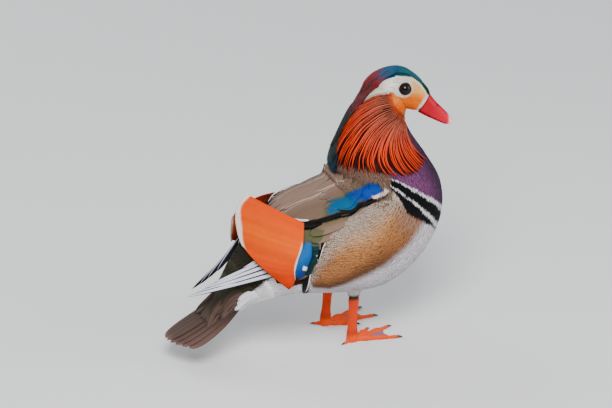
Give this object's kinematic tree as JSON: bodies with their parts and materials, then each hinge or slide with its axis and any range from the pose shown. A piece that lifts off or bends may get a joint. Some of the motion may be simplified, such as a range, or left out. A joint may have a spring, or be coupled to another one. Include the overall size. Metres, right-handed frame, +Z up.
{
  "type": "mandarin duck",
  "caption": "Life-size standing drake of a mandarin duck with folded wings, raised orange sail feathers, hackled ruff, swept-back crest and webbed feet; still display model.",
  "frame": {"origin": "on the floor under the middle of the bird's box", "axes": "+X the way the body faces, +Y to its left, +Z up"},
  "size_m": [0.2748, 0.1126, 0.2603],
  "materials": {
    "breast": "soft matt body feathers: purple breast, golden flanks with fine dark lines, white belly",
    "ruff": "long orange hackles with pale shafts over dark maroon",
    "head": "short silky feathers: teal crown, red-maroon crest, white brow, buff face",
    "eye": "wet near-black eye",
    "bill": "smooth crimson horn with a pale nail",
    "wing": "taupe-brown covering feathers, blue-green patch, white-edged flight feathers",
    "sail": "silky orange web with white rear rim and black lower edge",
    "tail": "dull brown tail feathers",
    "thigh": "short grey-white down",
    "leg": "scaled orange skin with grey-purple webs",
    "claw": "dark horn"
  },
  "bodies": {
    "root": {"bill_lower": "bill", "bill_upper": "bill", "claw_left_hind": "claw", "claw_left_inner": "claw", "claw_left_middle": "claw", "claw_left_outer": "claw", "claw_right_hind": "claw", "claw_right_inner": "claw", "claw_right_middle": "claw", "claw_right_outer": "claw", "eye_left": "eye", "eye_right": "eye", "foot_left": "leg", "foot_right": "leg", "head": "head", "neck": "ruff", "sail_left": "sail", "sail_right": "sail", "shank_left": "leg", "shank_right": "leg", "tail": "tail", "thigh_left": "thigh", "thigh_right": "thigh", "torso": "breast", "wing_left": "wing", "wing_right": "wing"}
  },
  "joints": []
}
